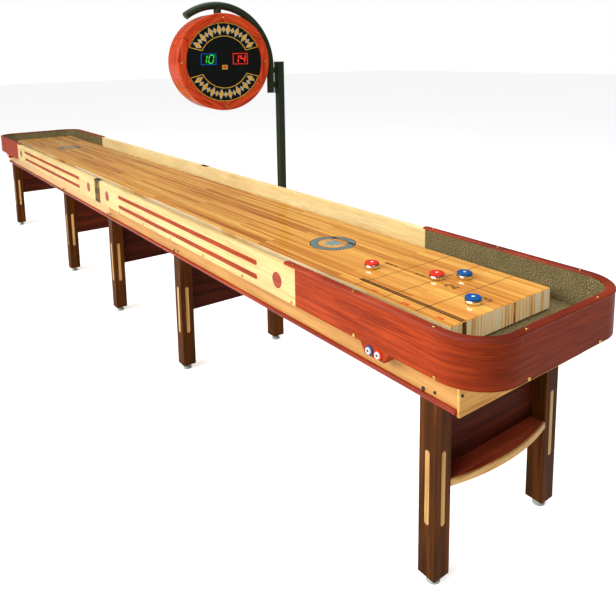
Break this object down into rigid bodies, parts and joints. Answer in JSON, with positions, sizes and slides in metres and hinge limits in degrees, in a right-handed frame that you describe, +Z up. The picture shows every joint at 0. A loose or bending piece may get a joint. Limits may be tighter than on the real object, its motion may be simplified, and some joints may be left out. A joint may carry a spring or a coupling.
{
  "type": "shuffleboard table",
  "caption": "Long bank shuffleboard table on five leg sets, with a floating wooden playfield, carpeted gutters, pucks, push buttons and an overhead two-sided electronic score unit.",
  "frame": {"origin": "centre of the overall box, on the floor", "axes": "+X along the table, +Y towards the side with the score pole, +Z up"},
  "size_m": [6.103, 0.862, 1.9754],
  "materials": {
    "maple": "satin lacquer",
    "maple_tan": "satin lacquer",
    "cherry": "gloss lacquer",
    "cherry_rim": "gloss lacquer",
    "cherry_dark": "satin lacquer",
    "playfield": "thick clear polymer finish",
    "ply": "bare",
    "carpet": "pile",
    "brass": "polished",
    "steel": "plated",
    "chrome_cap_red": "chrome body with a gloss red cap",
    "chrome_cap_blue": "chrome body with a gloss blue cap",
    "black_steel": "satin powder coat",
    "foot": "satin",
    "dial": "matt with gold printed borders",
    "display": "gloss",
    "collar": "gloss red or blue",
    "button_cap": "gloss white"
  },
  "bodies": {
    "table": {"playfield": "playfield", "playfield_supports": "ply", "climatic_adjusters": "steel", "gutter_floor": "ply", "gutter_carpet": "carpet", "cradle_rails": "maple_tan", "cradle_end_boards": "maple_tan", "cradle_cross_members": "ply", "cradle_splice_plates": "steel", "base_moulding": "cherry", "leg_bolts": "black_steel", "side_board_near_left": "maple", "side_board_near_right": "maple", "side_board_far_left": "maple", "side_board_far_right": "maple", "board_inlay_strips": "cherry", "board_medallions": "cherry", "joint_plates": "brass", "cabinet_screws": "brass", "end_wall_left": "cherry", "end_wall_right": "cherry", "end_rim_left": "cherry_rim", "end_rim_right": "cherry_rim", "end_carpets": "carpet", "leg_pair_1": "cherry_dark", "leg_pair_2": "cherry_dark", "leg_pair_3": "cherry_dark", "leg_pair_4": "cherry_dark", "leg_pair_5": "cherry_dark", "leg_panels": "cherry_dark", "leg_inlays": "maple_tan", "end_shelves": "cherry_dark", "shelf_edges": "maple_tan", "score_pole": "black_steel", "pole_brackets": "black_steel", "score_arm": "black_steel", "button_boxes": "cherry", "button_collars": "collar"},
    "score_head": {"score_housing": "cherry", "score_dials": "dial", "score_displays": "display", "score_hanger_stud": "steel"},
    "leveller_1_near_body": {"leveller_1_near": "foot"},
    "leveller_1_far_body": {"leveller_1_far": "foot"},
    "leveller_2_near_body": {"leveller_2_near": "foot"},
    "leveller_2_far_body": {"leveller_2_far": "foot"},
    "leveller_3_near_body": {"leveller_3_near": "foot"},
    "leveller_3_far_body": {"leveller_3_far": "foot"},
    "leveller_4_near_body": {"leveller_4_near": "foot"},
    "leveller_4_far_body": {"leveller_4_far": "foot"},
    "leveller_5_near_body": {"leveller_5_near": "foot"},
    "leveller_5_far_body": {"leveller_5_far": "foot"},
    "button_blue_left_body": {"button_blue_left": "button_cap"},
    "button_red_left_body": {"button_red_left": "button_cap"},
    "button_blue_right_body": {"button_blue_right": "button_cap"},
    "button_red_right_body": {"button_red_right": "button_cap"},
    "puck_red_1_body": {"puck_red_1": "chrome_cap_red"},
    "puck_red_2_body": {"puck_red_2": "chrome_cap_red"},
    "puck_blue_1_body": {"puck_blue_1": "chrome_cap_blue"},
    "puck_blue_2_body": {"puck_blue_2": "chrome_cap_blue"}
  },
  "joints": [
    {"name": "leveller_1_near_screw_travel", "type": "slide", "parent": "table", "child": "leveller_1_near_body", "axis": [0, 0, -1], "range_m": [0, 0.02]},
    {"name": "leveller_1_far_screw_travel", "type": "slide", "parent": "table", "child": "leveller_1_far_body", "axis": [0, 0, -1], "range_m": [0, 0.02]},
    {"name": "leveller_2_near_screw_travel", "type": "slide", "parent": "table", "child": "leveller_2_near_body", "axis": [0, 0, -1], "range_m": [0, 0.02]},
    {"name": "leveller_2_far_screw_travel", "type": "slide", "parent": "table", "child": "leveller_2_far_body", "axis": [0, 0, -1], "range_m": [0, 0.02]},
    {"name": "leveller_3_near_screw_travel", "type": "slide", "parent": "table", "child": "leveller_3_near_body", "axis": [0, 0, -1], "range_m": [0, 0.02]},
    {"name": "leveller_3_far_screw_travel", "type": "slide", "parent": "table", "child": "leveller_3_far_body", "axis": [0, 0, -1], "range_m": [0, 0.02]},
    {"name": "leveller_4_near_screw_travel", "type": "slide", "parent": "table", "child": "leveller_4_near_body", "axis": [0, 0, -1], "range_m": [0, 0.02]},
    {"name": "leveller_4_far_screw_travel", "type": "slide", "parent": "table", "child": "leveller_4_far_body", "axis": [0, 0, -1], "range_m": [0, 0.02]},
    {"name": "leveller_5_near_screw_travel", "type": "slide", "parent": "table", "child": "leveller_5_near_body", "axis": [0, 0, -1], "range_m": [0, 0.02]},
    {"name": "leveller_5_far_screw_travel", "type": "slide", "parent": "table", "child": "leveller_5_far_body", "axis": [0, 0, -1], "range_m": [0, 0.02]},
    {"name": "button_blue_left_push", "type": "slide", "parent": "table", "child": "button_blue_left_body", "axis": [0, 1, 0], "range_m": [0, 0.004], "stiffness_N_per_m": 500, "springref_m": -0.002},
    {"name": "button_red_left_push", "type": "slide", "parent": "table", "child": "button_red_left_body", "axis": [0, 1, 0], "range_m": [0, 0.004], "stiffness_N_per_m": 500, "springref_m": -0.002},
    {"name": "button_blue_right_push", "type": "slide", "parent": "table", "child": "button_blue_right_body", "axis": [0, 1, 0], "range_m": [0, 0.004], "stiffness_N_per_m": 500, "springref_m": -0.002},
    {"name": "button_red_right_push", "type": "slide", "parent": "table", "child": "button_red_right_body", "axis": [0, 1, 0], "range_m": [0, 0.004], "stiffness_N_per_m": 500, "springref_m": -0.002},
    {"name": "puck_red_1_glide", "type": "slide", "parent": "table", "child": "puck_red_1_body", "axis": [1, 0, 0], "range_m": [-5, 0.18]},
    {"name": "puck_red_2_glide", "type": "slide", "parent": "table", "child": "puck_red_2_body", "axis": [1, 0, 0], "range_m": [-5.25, 0.27]},
    {"name": "puck_blue_1_glide", "type": "slide", "parent": "table", "child": "puck_blue_1_body", "axis": [1, 0, 0], "range_m": [-5.3, 0.21]},
    {"name": "puck_blue_2_glide", "type": "slide", "parent": "table", "child": "puck_blue_2_body", "axis": [1, 0, 0], "range_m": [-0.2, 0.045]},
    {"name": "score_head_swivel", "type": "hinge", "parent": "table", "child": "score_head", "pos_m": [0.901, 0.007, 1.65], "axis": [0, 0, 1], "range_deg": [-35.5, 54.5]}
  ]
}
